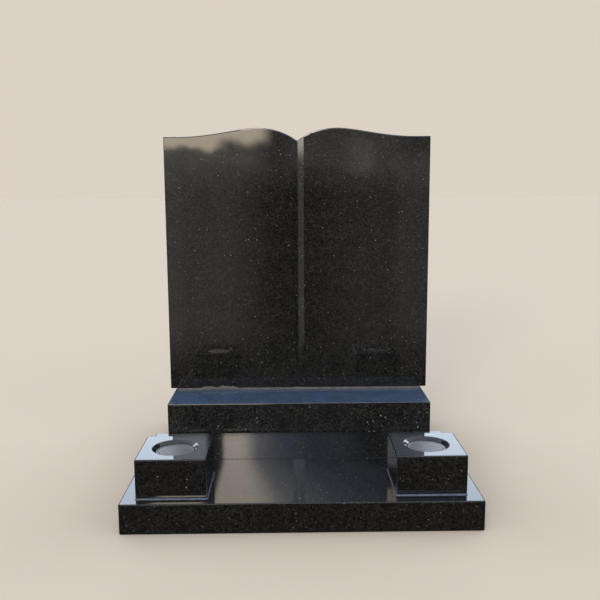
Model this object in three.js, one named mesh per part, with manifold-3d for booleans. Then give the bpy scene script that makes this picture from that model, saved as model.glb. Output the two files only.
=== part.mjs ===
// Open-book headstone in polished black granite: a book tablet on a plinth, and in front of it a wide
// slab with two square vase blocks, each bored for a lidded flower container.
// Millimetres, +Z up, the book faces -Y. The origin is under the middle of the whole footprint.
import * as THREE from "three";
import { mergeVertices } from "three/addons/utils/BufferGeometryUtils.js";
import Module from "manifold-3d";

const wasm = await Module();
wasm.setup();

// Front slab
const SLAB_WIDTH = 762;
const SLAB_DEPTH = 450;
const SLAB_THICKNESS = 66;

// Pointing between the slab and the plinth
const JOINT_WIDTH = 8;
const JOINT_RECESS = 6;
const JOINT_END_RECESS = 4;

// Plinth, which stands on the same ground as the slab and rises above it
const PLINTH_WIDTH = 702;
const PLINTH_DEPTH = 305;
const PLINTH_RISE = 78;

// Book tablet
const BOOK_WIDTH = 725;
const BOOK_THICKNESS = 76;
const BOOK_CORNER_HEIGHT = 699;
const BOOK_SETBACK = 135;
const PAGE_CREST_RISE = 23;
const PAGE_CREST_OFFSET = 108;
const PAGE_WAVE_END = 320;
const VALLEY_DROP = 11;
const CREST_ROUNDNESS = 2.2;
const SHOULDER_WARP = 0.82;
const CREST_STEPS = 14;
const SHOULDER_STEPS = 18;
const SPINE_GROOVE_WIDTH = 34;
const SPINE_GROOVE_DEPTH = 6;
const SPINE_FLOOR_WIDTH = 2;

// Mortar bed under the book
const BOOK_BED_THICKNESS = 6.5;
const BOOK_BED_RECESS = 3;
const BOOK_BED_END_MARGIN = 12;

// Vase blocks and their beds
const VASE_BLOCK_SIDE = 150;
const VASE_BLOCK_HEIGHT = 84.5;
const VASE_SIDE_MARGIN = 31.5;
const VASE_SETBACK_LEFT = 23;
const VASE_SETBACK_RIGHT = 30;
const VASE_BED_THICKNESS = 3;
const VASE_BED_SPREAD = 3;

// Bore of a vase block, from the rim down
const RIM_DIAMETER = 99;
const BEVEL_RUN = 7;
const BEVEL_DEPTH = 6.5;
const LEDGE_WIDTH = 3;
const BORE_DEPTH = 75;

// Flower container and lid
const CONTAINER_CLEARANCE = 0.5;
const CONTAINER_WALL = 1.6;
const FLANGE_THICKNESS = 1.5;
const LID_THICKNESS = 2;
const CONTAINER_FOOT_CLEARANCE = 3;

// Arrises: the small bevel that takes the sharpness off every polished edge
const ARRIS = 2.5;
const ARRIS_STEPS = 2;
const ROUND_STEPS = 56;
const OVERRUN = 20;
const WELD_TOLERANCE = 1e-4;

// Levels and places that follow from the sizes above
const TOTAL_DEPTH = SLAB_DEPTH + JOINT_WIDTH + PLINTH_DEPTH;
const SLAB_FRONT = -TOTAL_DEPTH / 2;
const SLAB_BACK = SLAB_FRONT + SLAB_DEPTH;
const PLINTH_FRONT = SLAB_BACK + JOINT_WIDTH;
const PLINTH_HEIGHT = SLAB_THICKNESS + PLINTH_RISE;
const BOOK_FRONT = PLINTH_FRONT + BOOK_SETBACK;
const BOOK_FOOT = PLINTH_HEIGHT + BOOK_BED_THICKNESS;
const VASE_FOOT = SLAB_THICKNESS + VASE_BED_THICKNESS;
const SEAT_RADIUS = RIM_DIAMETER / 2 - BEVEL_RUN;
const BORE_RADIUS = SEAT_RADIUS - LEDGE_WIDTH;
const LEDGE_DEPTH = BEVEL_DEPTH + LID_THICKNESS + FLANGE_THICKNESS;

const polishedGranite = (name) =>
  new THREE.MeshStandardMaterial({ name, color: 0x1d1d1c, roughness: 0.08, metalness: 0 });
const paleMortar = (name) =>
  new THREE.MeshStandardMaterial({ name, color: 0xa39c90, roughness: 0.95, metalness: 0 });
const darkPointing = (name) =>
  new THREE.MeshStandardMaterial({ name, color: 0x2b2a28, roughness: 0.9, metalness: 0 });
const satinAluminium = (name) =>
  new THREE.MeshStandardMaterial({ name, color: 0xb9b5ae, roughness: 0.45, metalness: 1 });

/** A closed geometry that keeps only its places, with shared corners merged. */
function welded(geometry) {
  const bare = geometry.index ? geometry.toNonIndexed() : geometry.clone();
  for (const attribute of Object.keys(bare.attributes)) {
    if (attribute !== "position") bare.deleteAttribute(attribute);
  }
  return mergeVertices(bare, WELD_TOLERANCE);
}

/** The manifold solid of a closed geometry. */
function solidOf(geometry) {
  const closed = welded(geometry);
  return new wasm.Manifold(
    new wasm.Mesh({
      numProp: 3,
      vertProperties: new Float32Array(closed.attributes.position.array),
      triVerts: new Uint32Array(closed.index.array),
    }),
  );
}

/** The geometry of a manifold solid. */
function geometryOf(solid) {
  const mesh = solid.getMesh();
  const geometry = new THREE.BufferGeometry();
  geometry.setAttribute("position", new THREE.BufferAttribute(mesh.vertProperties, 3));
  geometry.setIndex(new THREE.BufferAttribute(mesh.triVerts, 1));
  return geometry;
}

/** An outline swept by a length, with an arris inside its edges at both ends, from level 0 up. */
function arrisedExtrusion(shape, length) {
  const geometry = new THREE.ExtrudeGeometry(shape, {
    depth: length - 2 * ARRIS,
    bevelEnabled: true,
    bevelThickness: ARRIS,
    bevelSize: ARRIS,
    bevelOffset: -ARRIS,
    bevelSegments: ARRIS_STEPS,
    curveSegments: ARRIS_STEPS,
  });
  return geometry.translate(0, 0, ARRIS);
}

/** A rectangle about the origin with its corners taken off by an arris. */
function arrisedRectangle(width, depth) {
  const x = width / 2;
  const y = depth / 2;
  const shape = new THREE.Shape();
  shape.moveTo(-x + ARRIS, -y);
  shape.lineTo(x - ARRIS, -y);
  shape.lineTo(x, -y + ARRIS);
  shape.lineTo(x, y - ARRIS);
  shape.lineTo(x - ARRIS, y);
  shape.lineTo(-x + ARRIS, y);
  shape.lineTo(-x, y - ARRIS);
  shape.lineTo(-x, -y + ARRIS);
  shape.closePath();
  return shape;
}

/** A rectangular stone with arrises on every edge, standing on level 0. */
const arrisedBlock = (width, depth, height) =>
  arrisedExtrusion(arrisedRectangle(width, depth), height);

/** A plain bed or strip standing on level 0. */
const plainBed = (width, depth, height) =>
  new THREE.BoxGeometry(width, depth, height).translate(0, 0, height / 2);

/** A turned solid about +Z from [radius, level] pairs that start and end on the axis. */
function turned(profile) {
  const points = profile.map(([radius, level]) => new THREE.Vector2(radius, level));
  return new THREE.LatheGeometry(points, ROUND_STEPS).rotateX(Math.PI / 2);
}

/** How far a page's top edge stands above the book's outer corners, at a distance from the spine. */
function pageRise(distance) {
  if (distance >= PAGE_WAVE_END) return 0;
  if (distance < PAGE_CREST_OFFSET) {
    const climb = 1 - (1 - distance / PAGE_CREST_OFFSET) ** CREST_ROUNDNESS;
    return -VALLEY_DROP + (PAGE_CREST_RISE + VALLEY_DROP) * climb;
  }
  const along = (distance - PAGE_CREST_OFFSET) / (PAGE_WAVE_END - PAGE_CREST_OFFSET);
  return (PAGE_CREST_RISE * (1 + Math.cos(Math.PI * along ** SHOULDER_WARP))) / 2;
}

/** Distances from the spine, growing, at which the page top's wave is cut. */
function pageStations() {
  const stations = [];
  for (let i = 1; i <= CREST_STEPS; i += 1) {
    stations.push((PAGE_CREST_OFFSET * i) / CREST_STEPS);
  }
  for (let i = 1; i <= SHOULDER_STEPS; i += 1) {
    stations.push(PAGE_CREST_OFFSET + ((PAGE_WAVE_END - PAGE_CREST_OFFSET) * i) / SHOULDER_STEPS);
  }
  return stations;
}

/** The book's front outline, with x across and y up from its foot. */
function bookOutline() {
  const half = BOOK_WIDTH / 2;
  const stations = pageStations();
  const top = (x) => BOOK_CORNER_HEIGHT + pageRise(Math.abs(x));
  const shape = new THREE.Shape();
  shape.moveTo(-half + ARRIS, 0);
  shape.lineTo(half - ARRIS, 0);
  shape.lineTo(half, ARRIS);
  shape.lineTo(half, BOOK_CORNER_HEIGHT - ARRIS);
  shape.lineTo(half - ARRIS, BOOK_CORNER_HEIGHT);
  for (const x of [...stations].reverse()) shape.lineTo(x, top(x));
  shape.lineTo(0, top(0));
  for (const x of stations) shape.lineTo(-x, top(x));
  shape.lineTo(-half + ARRIS, BOOK_CORNER_HEIGHT);
  shape.lineTo(-half, BOOK_CORNER_HEIGHT - ARRIS);
  shape.lineTo(-half, ARRIS);
  shape.closePath();
  return shape;
}

/** The V-groove between the pages, as the body that is cut away, with the face at y = 0. */
function spineGroove() {
  const half = SPINE_GROOVE_WIDTH / 2;
  const flare = 1 + OVERRUN / SPINE_GROOVE_DEPTH;
  const floor = SPINE_FLOOR_WIDTH / 2;
  const mouth = floor + (half - floor) * flare;
  const section = new THREE.Shape();
  section.moveTo(-mouth, -OVERRUN);
  section.lineTo(mouth, -OVERRUN);
  section.lineTo(floor, SPINE_GROOVE_DEPTH);
  section.lineTo(-floor, SPINE_GROOVE_DEPTH);
  section.closePath();
  const height = BOOK_CORNER_HEIGHT + PAGE_CREST_RISE + 2 * OVERRUN;
  return new THREE.ExtrudeGeometry(section, { depth: height, bevelEnabled: false }).translate(
    0, 0, -OVERRUN,
  );
}

/** The book tablet, standing on level 0 with its front face at y = 0. */
function bookGeometry() {
  const slab = arrisedExtrusion(bookOutline(), BOOK_THICKNESS)
    .rotateX(Math.PI / 2)
    .translate(0, BOOK_THICKNESS, 0);
  return geometryOf(solidOf(slab).subtract(solidOf(spineGroove())));
}

/** The stepped, bevelled bore of a vase block, as the body that is cut away. */
function boreCutter() {
  const top = VASE_BLOCK_HEIGHT;
  return turned([
    [0, top - BORE_DEPTH],
    [BORE_RADIUS, top - BORE_DEPTH],
    [BORE_RADIUS, top - LEDGE_DEPTH],
    [SEAT_RADIUS, top - LEDGE_DEPTH],
    [SEAT_RADIUS, top - BEVEL_DEPTH],
    [RIM_DIAMETER / 2, top],
    [RIM_DIAMETER / 2, top + OVERRUN],
    [0, top + OVERRUN],
  ]);
}

/** A vase block standing on level 0. */
function vaseBlockGeometry() {
  const block = arrisedBlock(VASE_BLOCK_SIDE, VASE_BLOCK_SIDE, VASE_BLOCK_HEIGHT);
  return geometryOf(solidOf(block).subtract(solidOf(boreCutter())));
}

/** The open cup that hangs by its flange on the bore's ledge, at levels of its block. */
function containerGeometry() {
  const flangeFoot = VASE_BLOCK_HEIGHT - LEDGE_DEPTH;
  const flangeTop = flangeFoot + FLANGE_THICKNESS;
  const foot = VASE_BLOCK_HEIGHT - BORE_DEPTH + CONTAINER_FOOT_CLEARANCE;
  const outer = BORE_RADIUS - CONTAINER_CLEARANCE;
  const inner = outer - CONTAINER_WALL;
  return turned([
    [0, foot],
    [outer, foot],
    [outer, flangeFoot],
    [SEAT_RADIUS - CONTAINER_CLEARANCE, flangeFoot],
    [SEAT_RADIUS - CONTAINER_CLEARANCE, flangeTop],
    [inner, flangeTop],
    [inner, foot + CONTAINER_WALL],
    [0, foot + CONTAINER_WALL],
  ]);
}

/** The flat lid on the container's flange, at levels of its block. */
function lidGeometry() {
  const foot = VASE_BLOCK_HEIGHT - LEDGE_DEPTH + FLANGE_THICKNESS;
  const radius = SEAT_RADIUS - CONTAINER_CLEARANCE;
  return turned([
    [0, foot],
    [radius, foot],
    [radius, foot + LID_THICKNESS],
    [0, foot + LID_THICKNESS],
  ]);
}

/** A named piece at a place in the memorial. */
function piece(name, geometry, material, x, y, z) {
  const mesh = new THREE.Mesh(geometry, material(name));
  mesh.name = name;
  mesh.position.set(x, y, z);
  return mesh;
}

const headstone = new THREE.Group();
headstone.name = "headstone";

headstone.add(
  piece(
    "base_slab",
    arrisedBlock(SLAB_WIDTH, SLAB_DEPTH, SLAB_THICKNESS),
    polishedGranite,
    0, SLAB_FRONT + SLAB_DEPTH / 2, 0,
  ),
  piece(
    "slab_joint",
    plainBed(PLINTH_WIDTH - 2 * JOINT_END_RECESS, JOINT_WIDTH, SLAB_THICKNESS - JOINT_RECESS),
    darkPointing,
    0, SLAB_BACK + JOINT_WIDTH / 2, 0,
  ),
  piece(
    "plinth",
    arrisedBlock(PLINTH_WIDTH, PLINTH_DEPTH, PLINTH_HEIGHT),
    polishedGranite,
    0, PLINTH_FRONT + PLINTH_DEPTH / 2, 0,
  ),
  piece(
    "book_bedding",
    plainBed(
      PLINTH_WIDTH - 2 * BOOK_BED_END_MARGIN,
      BOOK_THICKNESS - 2 * BOOK_BED_RECESS,
      BOOK_BED_THICKNESS,
    ),
    paleMortar,
    0, BOOK_FRONT + BOOK_THICKNESS / 2, PLINTH_HEIGHT,
  ),
  piece("book_tablet", bookGeometry(), polishedGranite, 0, BOOK_FRONT, BOOK_FOOT),
);

const vaseSides = [
  { side: "left", sign: -1, setback: VASE_SETBACK_LEFT },
  { side: "right", sign: 1, setback: VASE_SETBACK_RIGHT },
];
for (const { side, sign, setback } of vaseSides) {
  const x = sign * (SLAB_WIDTH / 2 - VASE_SIDE_MARGIN - VASE_BLOCK_SIDE / 2);
  const y = SLAB_FRONT + setback + VASE_BLOCK_SIDE / 2;
  const bedSide = VASE_BLOCK_SIDE + 2 * VASE_BED_SPREAD;
  headstone.add(
    piece(
      `vase_bedding_${side}`,
      plainBed(bedSide, bedSide, VASE_BED_THICKNESS),
      paleMortar,
      x, y, SLAB_THICKNESS,
    ),
    piece(`vase_block_${side}`, vaseBlockGeometry(), polishedGranite, x, y, VASE_FOOT),
    piece(`flower_container_${side}`, containerGeometry(), satinAluminium, x, y, VASE_FOOT),
    piece(`container_lid_${side}`, lidGeometry(), satinAluminium, x, y, VASE_FOOT),
  );
}

export default headstone;
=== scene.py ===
"""Open-book headstone in polished black granite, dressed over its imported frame.

The set is a front slab with two vase blocks, a plinth behind the slab, and an
open-book tablet on the plinth. Every size that the frame holds is read from the
frame. Sizes that a box can't tell, such as the groove and the flower holes, are
fields of the class that uses them. Units are metres; +Z is up and -Y is front.
"""

from __future__ import annotations

import logging
import math
from dataclasses import dataclass
from enum import Enum
from typing import Any, Callable, Iterable, Sequence

import bmesh
import bpy
from mathutils import Matrix, Vector, noise

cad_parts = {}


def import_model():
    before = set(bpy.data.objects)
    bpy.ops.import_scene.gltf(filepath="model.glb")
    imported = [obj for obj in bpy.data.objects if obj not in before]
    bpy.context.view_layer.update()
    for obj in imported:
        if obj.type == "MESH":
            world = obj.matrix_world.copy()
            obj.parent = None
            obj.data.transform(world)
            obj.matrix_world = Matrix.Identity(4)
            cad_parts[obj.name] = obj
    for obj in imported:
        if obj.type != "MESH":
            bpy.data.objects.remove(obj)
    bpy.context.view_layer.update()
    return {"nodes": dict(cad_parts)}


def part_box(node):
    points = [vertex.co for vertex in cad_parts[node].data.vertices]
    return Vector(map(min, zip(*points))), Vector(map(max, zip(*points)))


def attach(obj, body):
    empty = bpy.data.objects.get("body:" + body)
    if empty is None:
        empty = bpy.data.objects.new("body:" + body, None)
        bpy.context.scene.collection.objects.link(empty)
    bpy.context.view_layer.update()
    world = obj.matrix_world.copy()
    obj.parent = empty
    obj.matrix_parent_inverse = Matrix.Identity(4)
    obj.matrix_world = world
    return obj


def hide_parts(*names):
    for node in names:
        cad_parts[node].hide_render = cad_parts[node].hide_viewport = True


LOG = logging.getLogger("headstone")
BODY = "root"

Colour = tuple[float, float, float]
Point = tuple[float, float, float]
Span = tuple[float, float]
Material = bpy.types.Material
Node = bpy.types.Node
Piece = bpy.types.Object
Socket = bpy.types.NodeSocket
Tree = bpy.types.NodeTree
Form = bmesh.types.BMesh

WHOLE: Span = (0.0, 1.0)
FALLING: Span = (1.0, 0.0)
# Where most values of a noise texture lie
NOISE_SPREAD: Span = (0.3, 0.7)
# The rounding of every polished edge
ARRIS = 0.0025
ARRIS_STEPS = 4


class NodeSheet:
    """Adds nodes to a tree from left to right and links them as it goes."""

    STEP = 190.0

    def __init__(self, tree: Tree) -> None:
        """Start a sheet.

        Args:
            tree: the shader or geometry tree that gets the nodes.
        """
        self.tree = tree
        self._column = 0

    def add(self, kind: str, feeds: dict[Any, Any] | None = None, **settings: Any) -> Node:
        """Add one node.

        Args:
            kind: the node's type name.
            feeds: input name or index, to a value or to the socket that feeds it.
            **settings: properties of the node itself.

        Returns:
            The new node.
        """
        node = self.tree.nodes.new(kind)
        node.location = (self._column * self.STEP, 0.0)
        self._column += 1
        for key, value in settings.items():
            setattr(node, key, value)
        self.fill(node, feeds or {})
        return node

    def fill(self, node: Node, feeds: dict[Any, Any]) -> None:
        """Feed several inputs of a node, each by its name or index."""
        for key, value in feeds.items():
            self.feed(node.inputs[key], value)

    def feed(self, socket: Socket, value: Any) -> None:
        """Link a socket to another one, or set its value."""
        if isinstance(value, Socket):
            self.tree.links.new(value, socket)
        else:
            socket.default_value = value

    def math(self, operation: str, *values: Any, clamp: bool = False) -> Socket:
        """Add a Math node and give its result."""
        feeds = dict(enumerate(values))
        node = self.add("ShaderNodeMath", feeds, operation=operation, use_clamp=clamp)
        return node.outputs[0]

    def plus(self, first: Any, second: Any) -> Socket:
        """Give a sum."""
        return self.math("ADD", first, second)

    def minus(self, first: Any, second: Any) -> Socket:
        """Give a difference."""
        return self.math("SUBTRACT", first, second)

    def times(self, first: Any, second: Any) -> Socket:
        """Give a product."""
        return self.math("MULTIPLY", first, second)

    def per(self, size: Any) -> Socket:
        """Give how many of a size fit in a metre."""
        return self.math("DIVIDE", 1.0, size)

    def vector(self, operation: str, *values: Any) -> Socket:
        """Add a Vector Math node and give its vector result."""
        feeds = dict(enumerate(values))
        return self.add("ShaderNodeVectorMath", feeds, operation=operation).outputs["Vector"]

    def scaled(self, vector: Any, amount: Any) -> Socket:
        """Give a vector times a number."""
        feeds = {0: vector, "Scale": amount}
        return self.add("ShaderNodeVectorMath", feeds, operation="SCALE").outputs["Vector"]

    def xyz(self, **parts: Any) -> Socket:
        """Give a vector from its parts, with zero for those left out."""
        return self.add("ShaderNodeCombineXYZ", parts).outputs[0]

    def parts(self, vector: Any) -> Any:
        """Give the X, Y and Z of a vector."""
        return self.add("ShaderNodeSeparateXYZ", {0: vector}).outputs

    def remap(
        self, value: Any, source: Sequence[Any], target: Sequence[Any] = WHOLE, smooth: bool = False
    ) -> Socket:
        """Map a number from one range to another, clamped.

        Args:
            value: the number to map.
            source: where it comes from, lowest and highest.
            target: where it goes to.
            smooth: ease in and out at both ends.

        Returns:
            The mapped number.
        """
        ends = {"From Min": source[0], "From Max": source[1], "To Min": target[0], "To Max": target[1]}
        ease = "SMOOTHSTEP" if smooth else "LINEAR"
        node = self.add("ShaderNodeMapRange", {"Value": value, **ends}, interpolation_type=ease)
        return node.outputs["Result"]

    def blend(self, amount: Any, first: Any, second: Any) -> Socket:
        """Give a colour between two colours."""
        node = self.add("ShaderNodeMix", {0: amount}, data_type="RGBA")
        for index, value in ((6, first), (7, second)):
            if not isinstance(value, Socket):
                value = (*value, 1.0)
            self.feed(node.inputs[index], value)
        return node.outputs[2]

    def noise(self, place: Any, scale: Any, detail: float, roughness: float = 0.5) -> Socket:
        """Add a noise texture and give its value."""
        feeds = {"Vector": place, "Scale": scale, "Detail": detail, "Roughness": roughness}
        return self.add("ShaderNodeTexNoise", feeds).outputs[0]

    def cells(self, place: Any, scale: Any) -> tuple[Socket, Any]:
        """Add cells that fill space at random.

        Args:
            place: where the pattern is looked up.
            scale: how many cells lie in a metre.

        Returns:
            The distance from a cell's middle, and the cell's random Red, Green and Blue.
        """
        feeds = {"Vector": place, "Scale": scale, "Randomness": 1.0}
        node = self.add("ShaderNodeTexVoronoi", feeds)
        split = self.add("ShaderNodeSeparateColor", {"Color": node.outputs["Color"]})
        return node.outputs["Distance"], split.outputs

    def bump(self, height: Any, distance: float) -> Socket:
        """Give the normal that a height makes."""
        feeds = {"Height": height, "Distance": distance, "Strength": 1.0}
        return self.add("ShaderNodeBump", feeds).outputs["Normal"]

    def group(self, tree: Tree, feeds: dict[str, Any]) -> Any:
        """Place a shader node group, feed its named inputs and give its outputs."""
        return self.add("ShaderNodeGroup", feeds, node_tree=tree).outputs


PLACE = ("Vector", "Vector")
GEOMETRY = [("Geometry", "Geometry")]
SOCKET_SORTS = {float: "Float", int: "Int", tuple: "Vector", Material: "Material"}


def numbers(*labels: str) -> list[tuple[str, str]]:
    """Name sockets that hold numbers."""
    return [(label, "Float") for label in labels]


def sockets_for(settings: dict[str, Any]) -> list[tuple[str, str]]:
    """Name a socket for each setting, of the sort that its value has."""
    return [(label, SOCKET_SORTS[type(value)]) for label, value in settings.items()]


def own_sizes(piece: Any, *fields: str) -> dict[str, Any]:
    """Give some fields of a piece by the labels that its tree's inputs have."""
    return {field.replace("_", " ").title(): getattr(piece, field) for field in fields}


def new_group(
    name: str, kind: str, inputs: Iterable[tuple[str, str]], outputs: Iterable[tuple[str, str]]
) -> tuple[NodeSheet, Any, Any]:
    """Make a node group with named sockets.

    Args:
        name: the group's name.
        kind: the type of node tree.
        inputs: socket names with their types, as in "Float".
        outputs: the same for what the group gives.

    Returns:
        A sheet for its nodes, the sockets it is given and the sockets it fills.
    """
    tree = bpy.data.node_groups.new(name, kind)
    for in_out, sockets in (("INPUT", inputs), ("OUTPUT", outputs)):
        for label, sort in sockets:
            tree.interface.new_socket(name=label, in_out=in_out, socket_type="NodeSocket" + sort)
    start, end = tree.nodes.new("NodeGroupInput"), tree.nodes.new("NodeGroupOutput")
    return NodeSheet(tree), start.outputs, end.inputs


class Effects:
    """The shader node groups that several finishes share, each built once."""

    SMALLEST_FLECK = 0.45
    GRAIN_CONTRAST = 1.3
    PATCH_ROUGHNESS = 0.55
    RIPPLE_WEIGHTS = {"Length": 0.8, "Fine Length": 0.2}
    LOOKING_UP = (0.6, 0.98)
    THINNEST_DUST_AND_SHEEN = 0.7

    def __init__(self) -> None:
        """Build the groups."""
        self.flecks = self._build_flecks()
        self.grain = self._build_grain()
        self.ripple = self._build_ripple()
        self.dust_and_sheen = self._build_dust_and_sheen()

    def _build_flecks(self) -> Tree:
        """Round crystals scattered through the stone, cut by its surface."""
        sheet, given, wanted = new_group(
            "crystal_flecks",
            "ShaderNodeTree",
            [PLACE, *numbers("Spacing", "Radius", "Share", "Softness")],
            numbers("Mask", "Chance"),
        )
        per_metre = sheet.per(given["Spacing"])
        distance, chance = sheet.cells(given["Vector"], per_metre)
        varied = sheet.remap(chance["Green"], WHOLE, (self.SMALLEST_FLECK, 1.0))
        reach = sheet.times(sheet.times(given["Radius"], per_metre), varied)
        inner = sheet.times(reach, sheet.minus(1.0, given["Softness"]))
        disc = sheet.remap(distance, (inner, reach), FALLING, True)
        chosen = sheet.math("LESS_THAN", chance["Red"], given["Share"])
        sheet.feed(wanted["Mask"], sheet.times(disc, chosen))
        sheet.feed(wanted["Chance"], chance["Blue"])
        return sheet.tree

    def _build_grain(self) -> Tree:
        """The close mottle of dark minerals that fills the stone."""
        sheet, given, wanted = new_group(
            "mineral_grain",
            "ShaderNodeTree",
            [PLACE, *numbers("Size", "Patch Size")],
            numbers("Grain", "Patch"),
        )
        place, patches = given["Vector"], sheet.per(given["Patch Size"])
        _, chance = sheet.cells(place, sheet.per(given["Size"]))
        sheet.feed(wanted["Grain"], sheet.math("POWER", chance["Red"], self.GRAIN_CONTRAST))
        sheet.feed(wanted["Patch"], sheet.noise(place, patches, 3.0, self.PATCH_ROUGHNESS))
        return sheet.tree

    def _build_ripple(self) -> Tree:
        """The faint unevenness that a surface keeps after it is worked."""
        sheet, given, wanted = new_group(
            "worked_ripple",
            "ShaderNodeTree",
            [PLACE, *numbers(*self.RIPPLE_WEIGHTS)],
            numbers("Height"),
        )
        total: Any = 0.0
        for label, weight in self.RIPPLE_WEIGHTS.items():
            wave = sheet.noise(given["Vector"], sheet.per(given[label]), 1.0)
            total = sheet.plus(total, sheet.times(wave, weight))
        sheet.feed(wanted["Height"], total)
        return sheet.tree

    def _build_dust_and_sheen(self) -> Tree:
        """A film on whatever looks up, thinner in broad clouds: dust on the lids, and on the plinth a
        painted bluish sky sheen over a little dust.
        """
        sheet, given, wanted = new_group(
            "settled_dust_and_sky_sheen",
            "ShaderNodeTree",
            [PLACE, *numbers("Amount", "Cloud Size")],
            numbers("Mask"),
        )
        normal = sheet.add("ShaderNodeNewGeometry").outputs["Normal"]
        facing = sheet.remap(sheet.parts(normal)["Z"], self.LOOKING_UP, WHOLE, True)
        cloud = sheet.noise(given["Vector"], sheet.per(given["Cloud Size"]), 4.0)
        uneven = sheet.remap(cloud, NOISE_SPREAD, (self.THINNEST_DUST_AND_SHEEN, 1.0), True)
        mask = sheet.times(sheet.times(facing, uneven), given["Amount"])
        sheet.feed(wanted["Mask"], mask)
        return sheet.tree


def new_material(name: str) -> tuple[Material, NodeSheet, Node]:
    """Make a material with one Principled shader on its output.

    Args:
        name: the material's name.

    Returns:
        The material, a sheet for more nodes, and the shader.
    """
    material = bpy.data.materials.new(name)
    material.use_nodes = True
    material.node_tree.nodes.clear()
    sheet = NodeSheet(material.node_tree)
    shader = sheet.add("ShaderNodeBsdfPrincipled")
    sheet.add("ShaderNodeOutputMaterial", {"Surface": shader.outputs["BSDF"]})
    return material, sheet, shader


def object_place(sheet: NodeSheet, shift: Point = (0.0, 0.0, 0.0)) -> Socket:
    """Give the Object coordinates moved by a fixed amount."""
    where = sheet.add("ShaderNodeTexCoord").outputs["Object"]
    return sheet.add("ShaderNodeMapping", {"Vector": where, "Location": shift}).outputs["Vector"]


@dataclass(frozen=True)
class GraniteFinish:
    """Polished black granite with fine grey flecks and a few bright crystals."""

    name: str
    cut_from: Point
    # how much upward film there is: a little dust carrying a painted bluish sky sheen that lightens
    # the tops
    dust_and_sheen: float = 0.0
    body: Colour = (0.0020, 0.0019, 0.0018)
    mineral: Colour = (0.0172, 0.0165, 0.0152)
    fleck: Colour = (0.052, 0.050, 0.045)
    crystal: Colour = (0.165, 0.165, 0.170)
    # the upward film's bluish tint: a painted sky sheen
    dust_and_sheen_tint: Colour = (0.29, 0.47, 0.82)
    grain_size: float = 0.0030
    patch_size: float = 0.060
    patch_tones: Span = (0.75, 1.15)
    fleck_spacing: float = 0.0105
    fleck_radius: float = 0.0026
    fleck_share: float = 0.85
    faintest_fleck: float = 0.25
    crystal_spacing: float = 0.0145
    crystal_radius: float = 0.0027
    crystal_share: float = 0.7
    faintest_crystal: float = 0.3
    softness: float = 0.55
    film_cloud: float = 0.05
    polish: float = 0.035
    fleck_roughness: float = 0.10
    ior: float = 1.55
    ripple_length: float = 0.09
    fine_ripple: float = 0.03
    ripple_height: float = 0.0000035

    def make(self, effects: Effects) -> Material:
        """Build the material.

        Args:
            effects: the shared shader groups.

        Returns:
            The finished material.
        """
        material, sheet, shader = new_material(self.name)
        place = object_place(sheet, self.cut_from)
        sizes = {"Vector": place, "Size": self.grain_size, "Patch Size": self.patch_size}
        grain = sheet.group(effects.grain, sizes)
        tone = sheet.remap(grain["Patch"], NOISE_SPREAD, self.patch_tones)
        amount = sheet.math("MULTIPLY", grain["Grain"], tone, clamp=True)
        colour = sheet.blend(amount, self.body, self.mineral)
        flecks = (self.fleck_spacing, self.fleck_radius, self.fleck_share)
        crystals = (self.crystal_spacing, self.crystal_radius, self.crystal_share)
        strongest: Any = 0.0
        for amounts, faintest, tint in (
            (flecks, self.faintest_fleck, self.fleck),
            (crystals, self.faintest_crystal, self.crystal),
        ):
            sizes = dict(zip(("Spacing", "Radius", "Share"), amounts))
            cut = sheet.group(effects.flecks, {"Vector": place, "Softness": self.softness, **sizes})
            strength = sheet.remap(cut["Chance"], WHOLE, (faintest, 1.0))
            strength = sheet.times(strength, cut["Mask"])
            colour = sheet.blend(strength, colour, tint)
            strongest = sheet.math("MAXIMUM", strongest, strength)
        # film on upward faces: dust with a painted bluish sky sheen that lightens the tops
        sizes = {"Vector": place, "Amount": self.dust_and_sheen, "Cloud Size": self.film_cloud}
        colour = sheet.blend(sheet.group(effects.dust_and_sheen, sizes)["Mask"], colour, self.dust_and_sheen_tint)
        rough = sheet.remap(strongest, WHOLE, (self.polish, self.fleck_roughness))
        sizes = {"Vector": place, "Length": self.ripple_length, "Fine Length": self.fine_ripple}
        normal = sheet.bump(sheet.group(effects.ripple, sizes)["Height"], self.ripple_height)
        sheet.fill(shader, {"Base Color": colour, "Roughness": rough, "Normal": normal})
        sheet.fill(shader, {"IOR": self.ior})
        return material


@dataclass(frozen=True)
class MortarFinish:
    """Cement mortar or pointing: matt, sandy and a little blotched."""

    name: str
    light: Colour
    dark: Colour
    sand_size: float = 0.0011
    blotch_size: float = 0.018
    blotch_spread: Span = (0.32, 0.68)
    speck_strength: float = 0.35
    sand_height: float = 0.00025
    roughness: float = 0.85
    smoothest: float = -0.08
    roughest: float = 0.05

    def make(self, effects: Effects) -> Material:
        """Build the material.

        Args:
            effects: the shared shader groups.

        Returns:
            The finished material.
        """
        material, sheet, shader = new_material(self.name)
        place = object_place(sheet)
        sizes = {"Vector": place, "Size": self.sand_size, "Patch Size": self.blotch_size}
        sand = sheet.group(effects.grain, sizes)
        blotch = sheet.remap(sand["Patch"], self.blotch_spread, WHOLE, True)
        colour = sheet.blend(blotch, self.dark, self.light)
        speck = sheet.times(sand["Grain"], self.speck_strength)
        colour = sheet.blend(speck, colour, self.light)
        normal = sheet.bump(sand["Grain"], self.sand_height)
        ends = (self.roughness + self.smoothest, self.roughness + self.roughest)
        rough = sheet.remap(blotch, WHOLE, ends)
        sheet.fill(shader, {"Base Color": colour, "Roughness": rough, "Normal": normal})
        return material


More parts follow.
